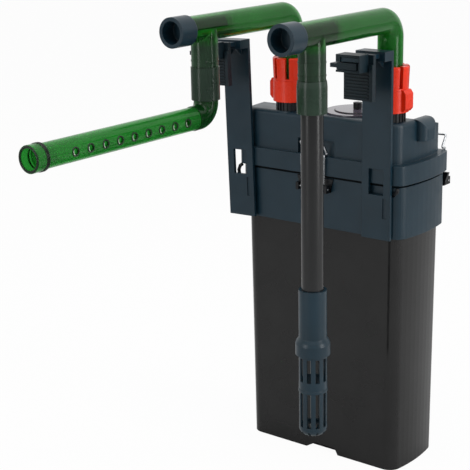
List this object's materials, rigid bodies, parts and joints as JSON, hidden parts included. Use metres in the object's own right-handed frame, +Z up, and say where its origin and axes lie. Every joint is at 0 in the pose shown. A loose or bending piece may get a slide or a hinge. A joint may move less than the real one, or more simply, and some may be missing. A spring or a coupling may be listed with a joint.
{
  "type": "canister filter",
  "caption": "Upright aquarium canister filter: latched pump head, green pipes, spray bar, telescoping intake strainer, and two hangers that clamp a tank rim.",
  "frame": {"origin": "centre of the canister's flat foot", "axes": "+Z up; +Y away from the tank, to the back of the filter; +X to the intake side"},
  "size_m": [0.1736, 0.3491, 0.3697],
  "materials": {
    "teal_plastic": "satin dark teal grey moulded plastic",
    "smoked_plastic": "smoked black see-through plastic, glossy",
    "green_plastic": "clear tinted green plastic pipe",
    "dark_green_plastic": "dark green glossy plastic",
    "orange_plastic": "orange-red moulded plastic",
    "black_plastic": "satin black moulded plastic",
    "tube_plastic": "black extruded tube, glossy",
    "steel_wire": "drawn stainless steel wire",
    "rubber": "black moulded rubber",
    "smoked_mirror": "polished purple-grey plastic that mirrors",
    "ceramic": "unglazed white ceramic",
    "foam": "open-cell filter foam",
    "epoxy": "cast black epoxy",
    "magnet": "plastic-coated magnet with moulded blades"
  },
  "bodies": {
    "filter": {"cable_gland": "black_plastic", "canister": "smoked_plastic", "canister_collar": "teal_plastic", "ceramic_media": "ceramic", "coarse_foam": "foam", "fine_foam": "foam", "hanger_left": "teal_plastic", "hanger_right": "teal_plastic", "head_base": "black_plastic", "head_screws": "steel_wire", "impeller_shaft": "ceramic", "inlet_nozzle": "black_plastic", "intake_duct": "black_plastic", "intake_pipe": "green_plastic", "intake_sleeve": "dark_green_plastic", "latch_base_back_left": "black_plastic", "latch_base_back_right": "black_plastic", "latch_base_front": "black_plastic", "media_basket_lower": "black_plastic", "media_basket_middle": "black_plastic", "media_basket_upper": "black_plastic", "motor_block": "epoxy", "nose_cover": "teal_plastic", "nozzle_seals": "rubber", "outlet_nozzle": "black_plastic", "outlet_pipe": "green_plastic", "outlet_sleeve": "dark_green_plastic", "pump_head": "teal_plastic", "rim_seal": "rubber", "shaft_bushes": "black_plastic", "vent_plate": "smoked_mirror", "volute_cover": "black_plastic", "volute_housing": "black_plastic"},
    "lock_collar_intake": {"lock_collar_intake": "orange_plastic"},
    "lock_collar_outlet": {"lock_collar_outlet": "orange_plastic"},
    "vent_knob": {"vent_knob": "black_plastic"},
    "latch_front": {"latch_wire_front": "steel_wire"},
    "latch_back_left": {"latch_wire_back_left": "steel_wire"},
    "latch_back_right": {"latch_wire_back_right": "steel_wire"},
    "jaw_left": {"clamp_jaw_left": "teal_plastic"},
    "jaw_right": {"clamp_jaw_right": "teal_plastic"},
    "lever_left": {"clamp_lever_left": "teal_plastic"},
    "lever_right": {"clamp_lever_right": "teal_plastic"},
    "flow_plug_outlet": {"flow_plug_outlet": "teal_plastic"},
    "flow_plug_intake": {"flow_plug_intake": "teal_plastic"},
    "spray_elbow": {"spray_elbow": "dark_green_plastic"},
    "spray_bar": {"spray_bar": "dark_green_plastic"},
    "spray_end_cap": {"spray_end_cap": "dark_green_plastic"},
    "intake_tube": {"intake_tube": "tube_plastic", "strainer_coupling": "teal_plastic"},
    "strainer_basket": {"strainer_basket": "teal_plastic"},
    "impeller": {"impeller": "magnet"}
  },
  "joints": [
    {"name": "lock_collar_intake_turn", "type": "hinge", "parent": "filter", "child": "lock_collar_intake", "pos_m": [0.057, -0.022, 0.307], "axis": [0, 0, 1], "range_deg": [0, 30]},
    {"name": "lock_collar_outlet_turn", "type": "hinge", "parent": "filter", "child": "lock_collar_outlet", "pos_m": [-0.0335, -0.022, 0.307], "axis": [0, 0, 1], "range_deg": [0, 30]},
    {"name": "vent_knob_turn", "type": "hinge", "parent": "filter", "child": "vent_knob", "pos_m": [0.017, -0.004, 0.287], "axis": [0, 0, 1], "range_deg": [0, 270]},
    {"name": "latch_front_open", "type": "hinge", "parent": "filter", "child": "latch_front", "pos_m": [-0.0015, -0.0393, 0.227], "axis": [1, 0, 0], "range_deg": [0, 110]},
    {"name": "latch_back_left_open", "type": "hinge", "parent": "filter", "child": "latch_back_left", "pos_m": [-0.0605, 0.0393, 0.227], "axis": [-1, 0, 0], "range_deg": [0, 110]},
    {"name": "latch_back_right_open", "type": "hinge", "parent": "filter", "child": "latch_back_right", "pos_m": [0.0605, 0.0393, 0.227], "axis": [-1, 0, 0], "range_deg": [0, 110]},
    {"name": "jaw_left_slide", "type": "slide", "parent": "filter", "child": "jaw_left", "axis": [0, 1, 0], "range_m": [0, 0.012]},
    {"name": "jaw_right_slide", "type": "slide", "parent": "filter", "child": "jaw_right", "axis": [0, 1, 0], "range_m": [0, 0.012]},
    {"name": "lever_left_press", "type": "hinge", "parent": "jaw_left", "child": "lever_left", "pos_m": [-0.07194, -0.0721, 0.33073], "axis": [-0.0297, 0, 0.9996], "range_deg": [0, 12], "stiffness_Nm_per_rad": 0.02},
    {"name": "lever_right_press", "type": "hinge", "parent": "jaw_right", "child": "lever_right", "pos_m": [0.0598, -0.0721, 0.3307], "axis": [0, 0, 1], "range_deg": [0, 12], "stiffness_Nm_per_rad": 0.02},
    {"name": "flow_plug_outlet_turn", "type": "hinge", "parent": "filter", "child": "flow_plug_outlet", "pos_m": [-0.0335, -0.15, 0.3588], "axis": [0, 1, 0], "range_deg": [0, 90]},
    {"name": "flow_plug_intake_turn", "type": "hinge", "parent": "filter", "child": "flow_plug_intake", "pos_m": [0.057, -0.145, 0.3588], "axis": [0, 1, 0], "range_deg": [0, 90]},
    {"name": "spray_elbow_swing", "type": "hinge", "parent": "filter", "child": "spray_elbow", "pos_m": [-0.0335, -0.1287, 0.31], "axis": [0, 0, 1], "range_deg": [-90, 60]},
    {"name": "spray_bar_aim", "type": "hinge", "parent": "spray_elbow", "child": "spray_bar", "pos_m": [-0.0335, -0.15, 0.2951], "axis": [0, 1, 0], "range_deg": [-90, 90]},
    {"name": "spray_end_cap_pull", "type": "slide", "parent": "spray_bar", "child": "spray_end_cap", "axis": [0, -1, 0], "range_m": [0, 0.012]},
    {"name": "intake_tube_reach", "type": "slide", "parent": "filter", "child": "intake_tube", "axis": [0, 0, 1], "range_m": [-0.012, 0.018]},
    {"name": "strainer_basket_pull", "type": "slide", "parent": "intake_tube", "child": "strainer_basket", "axis": [0, 0, -1], "range_m": [0, 0.014]},
    {"name": "impeller_spin", "type": "hinge", "parent": "filter", "child": "impeller", "pos_m": [0.017, 0, 0.245], "axis": [0, 0, 1], "continuous": true}
  ]
}
